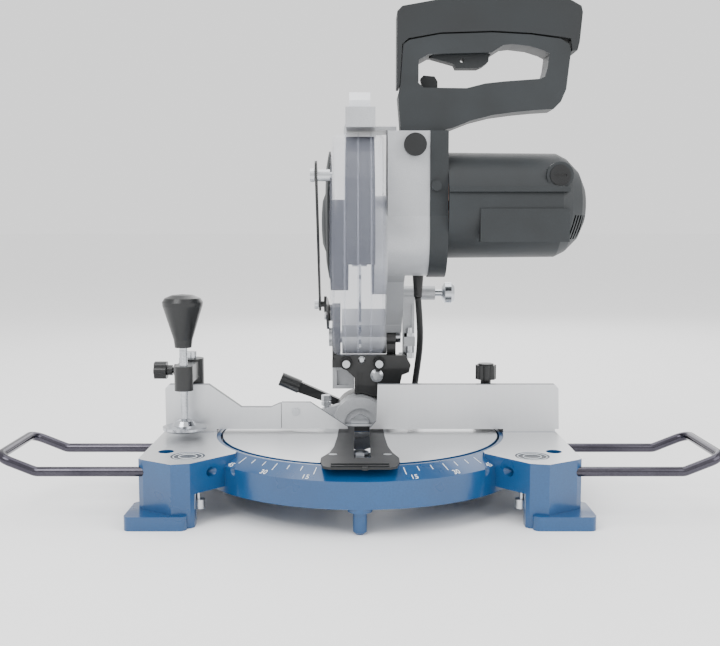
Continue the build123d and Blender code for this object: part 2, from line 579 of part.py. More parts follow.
def gearbox():
    """Cast gearbox with its neck, arm, web, barrel and the bridge to the dust box."""
    shell = extrude(Plane.YZ.offset(GEARBOX_X0) * gearbox_outline(), GEARBOX_X1 - GEARBOX_X0)
    shell += rod((14, BLADE_Y, BLADE_Z), (1, 0, 0), NECK_R, 0.01 + GEARBOX_X0 - 14) & block((0, 40), (-80, 80), (205, 366))
    z_axis = (1, 0, 0)
    arm = prism_x([(-30, 232), (5, 285), (36, 268), (90, 188), (69, 160), (10, 216)], *ARM_X)
    clear = rod((ARM_X[0] - 1, CHOP_Y, CHOP_Z), z_axis, EAR_R + 2.5, 40)
    arm -= clear
    web = prism_x([polar((BLADE_Y, BLADE_Z), 114.5, a) for a in (-51, -39)]
                  + [polar((BLADE_Y, BLADE_Z), WEB_FAR, a) for a in (-39, -51)], BARREL_X[0], ARM_X[1])
    barrel = rod((BARREL_X[0], CHOP_Y, CHOP_Z), z_axis, EAR_R - 0.5, BARREL_X[1] - BARREL_X[0])
    barrel += prism_x([polar((BLADE_Y, BLADE_Z), 115, a) for a in (-51, -39)]
                      + [polar((BLADE_Y, BLADE_Z), 150, a) for a in (-40, -50)], *BARREL_X)
    body = shell + arm + (web - clear) + barrel + lock_lug()
    body += block((14.8, 36), (-30, 22), (BLADE_Z + GUARD_R + 1.5, BOX_TOP + 6))
    body += block((GEARBOX_X0, 36), (-30, 22), (BOX_TOP - 10, BOX_TOP + 6))
    body -= gear_room()
    body -= rod((BARREL_X[0] - 5, CHOP_Y, CHOP_Z), z_axis, CHOP_SHAFT_R + FIT, 60)
    body -= rod((10, BLADE_Y, BLADE_Z), z_axis, BEARING_R, 80)
    body -= rod((GEARBOX_X0 + 4, BLADE_Y, MOTOR_Z), z_axis, PINION_BEARING_R, 8)
    body -= rod((BUTTON_X, -80, BUTTON_Z), (0, 1, 0), 4 + FIT, 60)
    return body


def gear_room():
    """Hollow for the gear pair, open towards the motor."""
    tip = GEAR_MODULE * (GEAR_TEETH / 2 + 1) + 1
    x0 = GEARBOX_X0 + 9
    room = rod((x0, BLADE_Y, BLADE_Z), (1, 0, 0), tip, GEARBOX_X1 - x0 + 1)
    upper = Pos(BLADE_Y - 2, (BLADE_Z + 340) / 2) * Rectangle(2 * 31, 340 - BLADE_Z)
    room += extrude(Plane.YZ.offset(x0) * upper, GEARBOX_X1 - x0 + 1)
    return room - block((0, 90), (-90, 90), (0, BLADE_Z - tip - 1))


BEARING_R = 14.0
PINION_BEARING_R = 9.0
BUTTON_X, BUTTON_Z = 53.0, 352.0


def lock_lug():
    """Outer cheek of the barrel with the hole that takes the transport pin."""
    outer = [polar(CHOP, 36, a) for a in (148, 124, 100, 76, 62)]
    lobe = [polar(CHOP, 58, 52), polar(CHOP, 58, 40)]
    inner = [polar(CHOP, EAR_R + 3, a) for a in (30, 60, 90, 120, 148)]
    cheek = prism_x(outer + lobe + [polar(CHOP, 36, 30)] + inner, EAR_RIGHT[1] + 1, ARM_X[1])
    y, z = polar(CHOP, 50.25, 95.7 - CHOP_TRAVEL)
    return cheek - rod((30, y, z), (1, 0, 0), PIN_R + 0.4, 20)


CHOP_TRAVEL = 43.0


def inner_guard():
    """Fixed guard shell over the upper part of the blade, inside the lower guard."""
    outer = rod((-14, BLADE_Y, BLADE_Z), (1, 0, 0), INNER_R, 28)
    hollow = rod((-12, BLADE_Y, BLADE_Z), (1, 0, 0), INNER_R - 2, 24)
    shell = outer - hollow
    shell -= block((-20, 20), (-200, 200), (0, BLADE_Z - 16))
    shell -= rod((-20, BLADE_Y, BLADE_Z), (1, 0, 0), 34, 40)
    shell += tube((12, BLADE_Y, BLADE_Z), (1, 0, 0), NECK_R, 34, 2)
    shell += tube((-14, BLADE_Y, BLADE_Z), (1, 0, 0), NECK_R - 4, 34, 2)
    shell += tube((-29.5, BLADE_Y, BLADE_Z), (1, 0, 0), NECK_R - 4, NECK_R - 8, 15.6)
    return shell


def guard_cover():
    """Black side cover: a shallow disc with a domed hub, carried by the inner guard."""
    y, z = BLADE_Y, BLADE_Z + 30
    disc = turned((-29.5, y, z), (-1, 0, 0), [(0, 0), (64, 0), (64, 1.5), (50, 4), (0, 4)])
    hub = turned((-32, y, z - 7), (-1, 0, 0), [(0, 0), (31, 0), (29, 3), (22, 5.6), (12, 6.5), (0, 6.5)])
    return disc + hub


def lower_guard():
    """Clear lower guard: two ring walls and a rim, open to the rear, with its lever stud."""
    width = GUARD_RIGHT - GUARD_LEFT
    outer = rod((GUARD_LEFT, BLADE_Y, BLADE_Z), (1, 0, 0), GUARD_R, width)
    outer = chamfer(outer.edges().filter_by(GeomType.CIRCLE), 4)
    hollow = rod((GUARD_LEFT + GUARD_WALL, BLADE_Y, BLADE_Z), (1, 0, 0), GUARD_R - GUARD_WALL, width - 2 * GUARD_WALL)
    shell = outer - chamfer(hollow.edges().filter_by(GeomType.CIRCLE), 3.2)
    wedge = [(BLADE_Y, BLADE_Z)] + [polar((BLADE_Y, BLADE_Z), 200, a) for a in (-98, -49, 0, 45, 92)]
    shell -= prism_x(wedge, -60, 60)
    shell += tube((GUARD_RIGHT - 2, BLADE_Y, BLADE_Z), (1, 0, 0), NECK_R + 3.3, NECK_R, 2)
    shell += tube((GUARD_LEFT, BLADE_Y, BLADE_Z), (1, 0, 0), NECK_R + 3.3, NECK_R - 4, 2)
    shell -= rod((0, BLADE_Y, BLADE_Z), (1, 0, 0), NECK_R + FIT + 0.1, 40)
    shell -= rod((-40, BLADE_Y, BLADE_Z), (1, 0, 0), NECK_R - 3.6, 40)
    return shell - rod((-40, *GUARD_PIN), (1, 0, 0), LEVER_PIN_R, 30)


def guard_stud():
    """Shoulder stud of the lower guard, with its lock nut, that runs in the lever."""
    x = LEVER_X[0] - 0.6
    stud = rod((x - 4, *GUARD_PIN), (1, 0, 0), LEVER_PIN_R, GUARD_LEFT + GUARD_WALL - x + 4)
    collar = rod((LEVER_X[1] + 0.5, *GUARD_PIN), (1, 0, 0), 5.5, GUARD_LEFT - LEVER_X[1] - 0.5)
    return stud + collar + rod((x, *GUARD_PIN), (-1, 0, 0), 6.4, 4)


def dust_box():
    """Grey chute box over the blade with the round dust outlet behind it."""
    z0 = BLADE_Z + GUARD_R + 1.5
    box = block((-14, 14.8), (-62, 66), (z0, z0 + 19)) - block((-11, 12), (-58, 70), (z0 + 3, z0 + 16))
    spout = turned((0, 62, z0 + 9.5), (0, 1, 0), [
        (SPOUT_R - 9, 0), (SPOUT_R - 5, 0), (SPOUT_R, 14), (SPOUT_R, 44), (SPOUT_R - 2.5, 44), (SPOUT_R - 2.5, 15),
        (SPOUT_R - 7.5, 1)])
    spout -= block((-30, 30), (40, 62.1), (300, 400))
    return box + spout


def spout_cap():
    """Translucent deflector cap on top of the box."""
    z0 = BLADE_Z + GUARD_R + 20.6
    cap = prism_x([(-46, z0), (30, z0), (30, z0 + 8), (16, z0 + 17), (-34, z0 + 17), (-46, z0 + 8)], -10.5, 10)
    return cap - prism_x([(-43, z0 + 2), (28, z0 + 2), (28, z0 + 7), (15, z0 + 15), (-33, z0 + 15), (-43, z0 + 7)], -8.5, 8)


# ---- blade and drive -----------------------------------------------------------------
def blade():
    """Carbide-tipped blade with gullets and relief slots."""
    plate = Circle(BLADE_R - 3)
    for k in range(TEETH):
        tooth = Polyline((BLADE_R - 9, -2.6), (BLADE_R, 0.0), (BLADE_R - 1.2, 2.6), (BLADE_R - 9, 7.0), close=True)
        plate += Rot(0, 0, 360 / TEETH * k) * make_face(tooth)
    for k in range(4):
        slot = Pos(BLADE_R - 14, 0) * Rectangle(30, 1.2) + Pos(BLADE_R - 29, 0) * Circle(2.5)
        plate -= Rot(0, 0, 90 * k + 7) * slot
    plate -= Circle(BORE_R)
    return extrude(Plane.YZ.offset(-BLADE_T / 2) * Pos(BLADE_Y, BLADE_Z) * plate, BLADE_T)


TEETH = 24
FLANGE_R = 22.0
ARBOR_R = 8.0


def arbor_shaft():
    """Arbor: blade seat, journal and the gear end."""
    start = (-8, BLADE_Y, BLADE_Z)
    return turned(start, (1, 0, 0), [
        (4, 0), (ARBOR_R, 0), (ARBOR_R, 5), (ARBOR_R, 18), (ARBOR_R, 76), (0, 76), (0, 14), (4, 14)])


def blade_flange(x0, x1):
    """A blade flange whose spigot carries half of the blade bore."""
    disc = rod((x0, BLADE_Y, BLADE_Z), (1, 0, 0), FLANGE_R, x1 - x0)
    return disc - rod((x0 - 1, BLADE_Y, BLADE_Z), (1, 0, 0), ARBOR_R, x1 - x0 + 2)


def bore_ring():
    """Reducing ring between the blade bore and the arbor."""
    return tube((-BLADE_T / 2, BLADE_Y, BLADE_Z), (1, 0, 0), BORE_R, ARBOR_R, BLADE_T)


def arbor_bolt():
    """Left-hand bolt that clamps the outer flange."""
    head = Plane(origin=(-13.5, BLADE_Y, BLADE_Z), z_dir=(1, 0, 0)) * RegularPolygon(7.5, 6)
    washer = rod((-9.5, BLADE_Y, BLADE_Z), (1, 0, 0), 11, 1.5)
    return extrude(head, 4) + washer + rod((-9, BLADE_Y, BLADE_Z), (1, 0, 0), 4, 14)


def toothed(teeth, turn=0.0):
    """Plain outline of a spur gear: a root circle with straight-flanked teeth."""
    pitch = GEAR_MODULE * teeth / 2
    half = math.pi * GEAR_MODULE / 4
    shape = Circle(pitch - 1.3 * GEAR_MODULE)
    tooth = make_face(Polyline(
        (pitch - 2 * GEAR_MODULE, -half * 1.3), (pitch + GEAR_MODULE * 0.85, -half * 0.42),
        (pitch + GEAR_MODULE * 0.85, half * 0.42), (pitch - 2 * GEAR_MODULE, half * 1.3), close=True))
    for k in range(teeth):
        shape += Rot(0, 0, 360 / teeth * k + turn) * tooth
    return shape


def driven_gear():
    """Large gear on the arbor."""
    face = toothed(GEAR_TEETH) - Circle(ARBOR_R)
    return extrude(Plane.YZ.offset(GEAR_X[0]) * Pos(BLADE_Y, BLADE_Z) * face, GEAR_X[1] - GEAR_X[0])


GEAR_X = (40.0, 52.0)
ARMATURE_R = 5.0
PINION_FACE = 14.0


def armature():
    """Armature shaft with its pinion, core and commutator."""
    y, z = BLADE_Y, MOTOR_Z
    shaft = rod((32, y, z), (1, 0, 0), ARMATURE_R, 180)
    pitch = 360 / PINION_TEETH
    face = toothed(PINION_TEETH, 270 % pitch + (0.5 - GEAR_TEETH / 4 % 1) * pitch)
    middle = (GEAR_X[0] + GEAR_X[1] - PINION_FACE) / 2
    pinion = extrude(Plane.YZ.offset(middle) * Pos(y, z) * face, PINION_FACE)
    core = rod((112, y, z), (1, 0, 0), 24, 46)
    windings = turned((104, y, z), (1, 0, 0), [(0, 0), (15, 0), (20, 5), (20, 57), (15, 62), (0, 62)])
    return shaft + pinion + core + windings + rod((172, y, z), (1, 0, 0), 13, 18)


def ring_bearing(x, z, outer, inner, width):
    """A ball bearing drawn as inner ring, outer ring and a closed cage."""
    ring = tube((x, BLADE_Y, z), (1, 0, 0), outer, inner, width)
    groove = tube((x - 1, BLADE_Y, z), (1, 0, 0), inner + (outer - inner) * 0.68, inner + (outer - inner) * 0.32, 1.8)
    return ring - groove


def fan():
    """Cooling fan behind the flange."""
    hub = tube((92, BLADE_Y, MOTOR_Z), (1, 0, 0), 12, ARMATURE_R, 10)
    disc = tube((92, BLADE_Y, MOTOR_Z), (1, 0, 0), 36, ARMATURE_R, 2)
    for k in range(9):
        blade_bar = block((93, 101), (10, 35), (-1, 1))
        hub += Pos(0, BLADE_Y, MOTOR_Z) * Rot(40 * k, 0, 0) * blade_bar
    return hub + disc


def stator():
    """Laminated field ring."""
    return tube((110, BLADE_Y, MOTOR_Z), (1, 0, 0), 44, 25, 50) - block((100, 170), (-9, 9), (0, MOTOR_Z - 30))


def motor_flange():
    """Black plate between gearbox and motor."""
    plate = extrude(Plane.YZ.offset(GEARBOX_X1) * gearbox_outline(1.5), MOTOR_X0 - GEARBOX_X1 - 0.2)
    plate -= rod((60, BLADE_Y, MOTOR_Z), (1, 0, 0), PINION_BEARING_R, 40)
    plate -= rod((60, BLADE_Y, BLADE_Z), (1, 0, 0), BEARING_R - 3, 14)
    return plate + rod((74, -52, MOTOR_Z + 18), (0, -1, 0), 5, 6)


def motor_housing():
    """Motor can with its rounded end, vents, cable panel and brush ports."""
    y, z = BLADE_Y, MOTOR_Z
    length = MOTOR_X1 - MOTOR_X0
    profile = [(0, 0), (MOTOR_R, 0), (MOTOR_R - 1, length - 30), (MOTOR_R - 6, length - 20),
               (MOTOR_R - 18, length - 8), (MOTOR_R - 32, length - 1.5), (0, length)]
    shell = turned((MOTOR_X0, y, z), (1, 0, 0), profile)
    inside = [(0, -1), (46, -1), (45.5, length - 34), (30, length - 14), (0, length - 12)]
    shell -= turned((MOTOR_X0, y, z), (1, 0, 0), inside)
    shell += tube((MOTOR_X1 - 20, y, z), (1, 0, 0), 12, 9, 12)
    rib = block((MOTOR_X0, MOTOR_X1 - 24), (y - MOTOR_R - 1.5, y - MOTOR_R + 6), (z + 12, z + 17))
    rib += block((MOTOR_X0 + 30, MOTOR_X1 - 24), (y - MOTOR_R - 1, y - MOTOR_R + 8), (z - 36, z - 4))
    shell += rib - rod((MOTOR_X0, y, z), (1, 0, 0), 46, length)
    for side in (-1, 1):
        shell -= rod((BRUSH_X, y + side * 40, BRUSH_Z), (0, side, 0), 10, 30)
        shell += tube((BRUSH_X, y + side * 38, BRUSH_Z), (0, side, 0), 13, 10, 10)
    for k in range(5):
        for side in (-1, 1):
            vent = Pos(MOTOR_X1 - 19 + 3.4 * k, y + side * 40, z - 22) * Rot(0, 14, 0) * Box(1.7, 40, 24)
            shell -= vent
    return shell


BRUSH_X, BRUSH_Z = 193.0, 330.0 - 7


def brush_caps():
    """Screw caps over the two brushes."""
    caps = []
    for side in (-1, 1):
        cap = rod((BRUSH_X, BLADE_Y + side * 41, BRUSH_Z), (0, side, 0), 9.9, 8)
        cap -= Pos(BRUSH_X, BLADE_Y + side * 49, BRUSH_Z) * Box(12, 2.4, 2.2)
        caps.append(cap)
    return caps


# ---- handle --------------------------------------------------------------------------
def handle_body():
    """Closed D-shaped handle with its finger opening."""
    outer = [(37, 402), (39, 408), (42, 450), (48, 454), (78, 459.5), (129, 461), (166, 459), (195, 455),
             (203, 450), (205, 444), (201, 407), (196, 395), (189, 388), (172, 387), (151, 385), (129, 382),
             (109, 377), (91, 370), (83, 368), (82, BOX_TOP), (40, BOX_TOP)]
    shell = prism_y(outer, HANDLE_Y - HANDLE_T / 2, HANDLE_Y + HANDLE_T / 2)
    opening = [(57, 435), (67, 440.5), (128, 442), (139, 449), (148, 450), (165, 448), (178, 444), (184, 441),
               (182.5, 428), (180, 419), (176, 417), (141, 414.5), (122, 412.5), (104, 408), (62, 408.5), (57, 413)]
    shell -= prism_y(opening, HANDLE_Y - 40, HANDLE_Y + 40)
    shell -= prism_y([(68, 436), (68, 456), (128, 456), (128, 436)], HANDLE_Y - 8, HANDLE_Y + 8)
    return shell


def handle_cap():
    """Upper grip shell over the handle."""
    outer = [(36, 410), (36, 481), (41, 486), (92, 495), (122, 495.5), (143, 501.5), (160, 501.5), (185, 498),
             (205, 491), (214, 486), (215.5, 480), (213, 452), (211, 444), (206, 443.5), (204.6, 455),
             (196, 456.5), (166, 460.4), (129, 462.4), (78, 460.8), (47, 455.4), (41, 450), (38.5, 410)]
    shell = prism_y(outer, HANDLE_Y - HANDLE_T / 2 - 1, HANDLE_Y + HANDLE_T / 2 + 1)
    shell -= prism_y([(68, 440), (68, 478), (128, 478), (128, 440)], HANDLE_Y - 10, HANDLE_Y + 10)
    return shell


def switch_module():
    """Switch block inside the grip, behind the trigger."""
    return block((72, 124), (HANDLE_Y - 9, HANDLE_Y + 9), (461.5 + 1.5, 476))


def trigger():
    """Finger trigger under the grip."""
    outline = [(70, 447), (70, 438.6), (92, 432.5), (94, 428.5), (115.5, 428.5), (121, 431), (126, 435), (127, 447)]
    body = prism_y(outline, HANDLE_Y - 7.5, HANDLE_Y + 7.5)
    return body - rod((100, HANDLE_Y - 10, 436), (0, 1, 0), 2, 20)


def release_lever():
    """Guard release lever in the finger opening."""
    lever = prism_y([(63, 408.9), (60, 420), (63, 423), (74, 422), (77, 417), (77, 408.9)], HANDLE_Y + 2, HANDLE_Y + 14)
    return lever


def lock_button():
    """Spindle lock button on the front of the gearbox."""
    front = BLADE_Y - 4 - 37
    cap = rod((BUTTON_X, front - 5.5, BUTTON_Z), (0, -1, 0), 11, 7)
    return cap + rod((BUTTON_X, front - 6, BUTTON_Z), (0, 1, 0), 4, 26)


# ---- cord ----------------------------------------------------------------------------
GLAND_X, GLAND_Y = 61.0, 20.0
LEAD_ROUTE = [(61, 20, 200), (64, 30, 172), (65, 43, 146), (63, 57, 121), (61, 71, 99), (60.5, 89.5, 83)]
CLIP = (60.0, 98.0, 80.0)
CLIP_LONG = 12.0
MAINS_ROUTE = [(60, 104.8, 80), (57, 124, 82), (44, 150, 84), (27, 178, 83), (13, 204, 68), (4, 219, 46),
               (-0.5, 233, 25), (-2.5, 251, 10), (-3.5, 276, 3.8), (-4, 300, 3.6)]
COIL_X, COIL_Y = -58.2, 300.0
COIL_MEAN, COIL_HALF = 40.0, 10.5
COIL_H = 21.0


def cord_tube(name, points):
    """Cord along straight runs joined by arcs as large as the runs allow."""
    radii = []
    for before, at, after in zip(points, points[1:], points[2:]):
        a, b = Vector(at) - Vector(before), Vector(after) - Vector(at)
        turn = math.radians(a.get_angle(b))
        radii.append(0.45 * min(a.length, b.length) / math.tan(turn / 2))
    path = FilletPolyline(*points, radius=radii)
    solid = sweep(Plane(origin=path @ 0, z_dir=path % 0) * Circle(CORD_R), path=path)
    print(name, "length", round(path.length, 1), "radii", [round(r) for r in radii],
          "volume ratio", round(solid.volume / (math.pi * CORD_R**2 * path.length), 4))
    return solid


def cord_gland():
    """Tapered strain relief under the gearbox flange."""
    return turned((GLAND_X, GLAND_Y, 200), (0.0, 0, 1), [(0, 0), (4.2, 0), (6.2, 30), (6.2, 34), (0, 34)])


def cord_clip():
    """Clip that holds the cord on the right of the bevel hub."""
    y0 = CLIP[1] - CLIP_LONG / 2
    ring = tube((CLIP[0], y0, CLIP[2]), (0, 1, 0), 7, CORD_R, CLIP_LONG)
    tab = block((40, 55), (y0, y0 + CLIP_LONG), (CLIP[2] - 5, CLIP[2] - 1))
    return ring + tab


def coil():
    """Outer shape of the coiled length of cord."""
    return tube((COIL_X, COIL_Y, 0), (0, 0, 1), COIL_MEAN + COIL_HALF, COIL_MEAN - COIL_HALF, COIL_H)


def plug():
    """Moulded two-pin plug, lying beside the coil."""
    body = turned((COIL_X - 20, COIL_Y + 56, 11), (-1, 0, 0), [
        (0, 0), (5, 0), (7, 16), (10.5, 22), (10.5, 44), (9, 46), (0, 46)])
    for side in (-1, 1):
        body += rod((COIL_X - 65, COIL_Y + 56 + side * 9.5, 11), (-1, 0, 0), 2.4, 19)
    face = turned((COIL_X - 58, COIL_Y + 56, 11), (-1, 0, 0), [(0, 0), (11, 0), (11, 7), (0, 7)])
    return body + face + block((COIL_X - 65, COIL_X - 58), (COIL_Y + 44, COIL_Y + 68), (4, 18))


# ---- fasteners -----------------------------------------------------------------------
def pivot_bolt():
    """Mitre pivot bolt with the washer and nut that hold the turntable."""
    shank = rod((0, 0, 2), (0, 0, 1), PIVOT_R, 38)
    washer = rod((0, 0, 33.8), (0, 0, 1), 12, 1.6)
    head = extrude(Plane.XY.offset(35.4) * RegularPolygon(9, 6), 4)
    foot = extrude(Plane.XY.offset(1.4) * RegularPolygon(10, 6), 4.6)
    return shank + washer + head + foot


def support_post():
    """Threaded front post that keeps the saw from tipping."""
    lower = turned((0, POST_Y, 0), (0, 0, 1), [(0, 0), (3.5, 0), (POST_R, 2.5), (POST_R, 35.5), (0, 35.5)])
    return lower


def trunnion_bolts():
    """Hex bolts that hold the bevel trunnion down."""
    z = TABLE_Z + 9
    return [bolt((x, y, z), (0, 0, -1), 3.0, 9, 5.5, 4, True) for x, y in TRUNNION_BOLTS]


def fence_screws():
    """Socket screws of the fence feet and the screw of the low plate."""
    screws = [bolt((x, 26, TABLE_Z + 8), (0, 0, -1), 3.0, 8, 5, 4) for x in FENCE_SCREWS]
    screws.append(bolt((-67, 1, TABLE_Z + 21), (0, 1, 0), 3.0, 12, 4.2, 2.5))
    return screws


def bevel_stop():
    """Hex stop bolt in the ear of the trunnion."""
    place = Pos(*BEVEL_STOP)
    nut = extrude(Plane.XY.offset(TABLE_Z + 16) * place * RegularPolygon(5.5, 6), 4)
    head = extrude(Plane.XY.offset(TABLE_Z + 21.5) * place * RegularPolygon(5.5, 6), 6)
    return nut + head + rod((*BEVEL_STOP, TABLE_Z + 6), (0, 0, 1), 3, 20)


def wing_badges():
    """Round generic badges on the wings, a plain disc with a ring."""
    low = TABLE_Z - BADGE_SUNK
    badge = tube((*BADGE, low), (0, 0, 1), 16, 13.4, 1.0) + rod((*BADGE, low), (0, 0, 1), 16, 0.5)
    return [badge, mirrored(badge)]


def bar_screws():
    """Knurled screws under the wings that lock the extension bars."""
    pieces = []
    for side in (-1, 1):
        for y in (BAR_FRONT_Y, BAR_REAR_Y):
            shank = rod((side * 150, y, 22), (0, 0, 1), 2.5, BAR_Z - BAR_R - 0.4 - 22)
            pieces.append(shank + rod((side * 149, y, 14), (0, 0, 1), 5.5, 8.5))
    return pieces


# ---- writing the nodes ---------------------------------------------------------------
frame = base_casting()
for side in (-1, 1):
    for y in (BAR_FRONT_Y, BAR_REAR_Y):
        frame -= rod((side * 150, y, 20), (0, 0, 1), 2.5, BAR_Z - 20)
for x in FENCE_SCREWS:
    frame -= rod((x, 26, 40), (0, 0, 1), 3.0, 40)
save("base_casting", frame)
save("wing_badges", *wing_badges())
save("front_support_post", support_post())
save("extension_bar_right", extension_bar())
save("extension_bar_left", mirrored(extension_bar()))
left = fence_left()
middle = fence_middle()
right = fence_right()
for x in FENCE_SCREWS:
    hole = rod((x, 26, 40), (0, 0, 1), 3.0, 60)
    left -= hole
    right -= hole
save("fence_left", left)
save("fence_middle", middle)
save("fence_right", right)
save("base_screws", pivot_bolt(), *fence_screws(), *bar_screws())
save("fence_knob", fence_knob())
save("clamp_post", clamp_post())
save("clamp_arm", clamp_arm())
save("clamp_lock_knob", clamp_lock_knob())
save("clamp_spindle", clamp_spindle())
save("clamp_pad", clamp_pad())
save("clamp_knob", clamp_knob())

table = turntable()
for x, y in TRUNNION_BOLTS:
    table -= rod((x, y, 40), (0, 0, 1), 3.0, 30)
save("turntable", table)
save("kerf_insert", kerf_insert())
save("bevel_trunnion", bevel_trunnion())
save("turntable_screws", bevel_stop(), *insert_screws(), *trunnion_bolts())
save("bevel_pivot_bolt", bevel_bolt())

save("tilt_arm", tilt_arm())
save("arm_bumpers", *arm_bumpers())
save("arm_screws", bevel_washer(), depth_stop_screw(), *arm_screws(), *bracket_bolts())
save("chop_shaft", chop_shaft())
save("bevel_lock_lever", bevel_lock_lever())
save("guard_lever_bracket", lever_bracket())
save("guard_lever", guard_lever())
save("arm_brackets", stop_bracket(), rear_brace())
save("transport_pin", transport_pin(), transport_knob())
save("cord_clip", cord_clip())

save("gearbox", gearbox() - rod((GLAND_X, GLAND_Y, 190), (0, 0, 1), 6.2, 44))
save("inner_guard", inner_guard())
save("guard_cover", guard_cover())
save("lower_guard", lower_guard())
save("guard_stud", guard_stud())
save("dust_box", dust_box())
save("spout_cap", spout_cap())
save("blade", blade())
save("blade_flanges", blade_flange(-8, -BLADE_T / 2), blade_flange(BLADE_T / 2, 7), bore_ring())
save("arbor_bolt", arbor_bolt())
save("arbor_shaft", arbor_shaft())
save("driven_gear", driven_gear())
save("arbor_bearings", ring_bearing(GEARBOX_X0 + 1, BLADE_Z, BEARING_R, ARBOR_R, 9),
     ring_bearing(58, BLADE_Z, BEARING_R, ARBOR_R, 9),
     ring_bearing(GEARBOX_X0 + 4, MOTOR_Z, PINION_BEARING_R, ARMATURE_R, 8),
     ring_bearing(GEARBOX_X1 + 2, MOTOR_Z, PINION_BEARING_R, ARMATURE_R, 8))
save("armature", armature(), fan())
save("stator", stator())
save("motor_flange", motor_flange())
save("motor_housing", motor_housing())
save("brush_caps", *brush_caps())
save("handle_body", handle_body())
save("handle_cap", handle_cap())
save("switch_module", switch_module())
save("trigger", trigger())
save("release_lever", release_lever())
save("spindle_lock_button", lock_button())
save("cord_gland", cord_gland())
save("motor_lead", cord_tube("motor lead", LEAD_ROUTE))
save("mains_cord", cord_tube("mains cord", MAINS_ROUTE))
save("cord_coil", coil())
save("plug", plug())
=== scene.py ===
"""Finishes and fine detail of a compact mitre saw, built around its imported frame.

Lengths are in metres, x to the user's right, y to the rear and z up.
"""
import math

import bpy
import numpy as np
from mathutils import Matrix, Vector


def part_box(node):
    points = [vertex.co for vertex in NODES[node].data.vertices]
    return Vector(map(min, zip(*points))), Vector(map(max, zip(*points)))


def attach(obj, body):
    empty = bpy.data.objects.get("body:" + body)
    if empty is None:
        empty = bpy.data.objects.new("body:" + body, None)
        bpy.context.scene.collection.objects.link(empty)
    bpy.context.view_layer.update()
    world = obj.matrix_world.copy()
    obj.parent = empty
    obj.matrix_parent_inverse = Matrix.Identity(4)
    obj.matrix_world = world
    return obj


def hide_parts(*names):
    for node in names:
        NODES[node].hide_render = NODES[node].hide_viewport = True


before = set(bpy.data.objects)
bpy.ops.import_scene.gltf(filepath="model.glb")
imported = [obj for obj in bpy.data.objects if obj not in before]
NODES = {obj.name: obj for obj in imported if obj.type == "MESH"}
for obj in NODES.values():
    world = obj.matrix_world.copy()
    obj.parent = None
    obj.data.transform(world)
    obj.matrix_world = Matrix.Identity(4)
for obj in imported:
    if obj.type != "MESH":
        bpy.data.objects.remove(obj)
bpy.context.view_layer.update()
MM = 0.001

# ---- camera and light ----------------------------------------------------------------
CAMERA_BACK, CAMERA_UP = 1.0142, 0.2709
CAMERA_PITCH, CAMERA_LENS = math.radians(5.434), 49.17

lens = bpy.data.cameras.new("camera")
lens.lens, lens.sensor_width = CAMERA_LENS, 36.0
camera = bpy.data.objects.new("camera", lens)
camera.location = (0.0, -CAMERA_BACK, CAMERA_UP)
camera.rotation_euler = (math.pi / 2 - CAMERA_PITCH, 0.0, 0.0)
bpy.context.scene.collection.objects.link(camera)
bpy.context.scene.camera = camera


def area_light(name, place, turn, size, power):
    """A square soft box: size is its side, turn its rotation in degrees."""
    data = bpy.data.lights.new(name, "AREA")
    data.size, data.energy = size, power
    lamp = bpy.data.objects.new(name, data)
    lamp.location = place
    lamp.rotation_euler = [math.radians(a) for a in turn]
    bpy.context.scene.collection.objects.link(lamp)


area_light("key", (-0.9, -1.1, 1.5), (46, 0, -40), 1.0, 20)
area_light("fill", (1.2, -0.9, 0.9), (62, 0, 52), 1.2, 11)
area_light("top", (0.0, 0.2, 1.9), (0, 0, 0), 1.6, 17)
area_light("back", (0.3, 1.5, 1.1), (-58, 0, 0), 1.3, 10)

world = bpy.data.worlds.new("studio")
world.use_nodes = True
world.node_tree.nodes["Background"].inputs[0].default_value = (1, 1, 1, 1)
world.node_tree.nodes["Background"].inputs[1].default_value = 1.35
bpy.context.scene.world = world


# ---- material tools ------------------------------------------------------------------
def linear(code):
    """An sRGB hex colour as linear red, green, blue and 1."""
    parts = [int(code[i:i + 2], 16) / 255 for i in (1, 3, 5)]
    return [c / 12.92 if c < 0.04045 else ((c + 0.055) / 1.055) ** 2.4 for c in parts] + [1.0]


def add(tree, kind, settings=(), sockets=(), links=()):
    """One node: settings are attributes, sockets are values, links are (socket, source)."""
    item = tree.nodes.new(kind)
    for key, value in dict(settings).items():
        setattr(item, key, value)
    for key, value in dict(sockets).items():
        item.inputs[key].default_value = value
    for key, source in dict(links).items():
        tree.links.new(source, item.inputs[key])
    return item


BROAD_SCALE = 22.0              # slow variation, about 45 mm across
NOISE_LOW, NOISE_HIGH = 0.1, 0.45  # the part of the noise that the two colours share out
BUMP_STRENGTH = 0.6


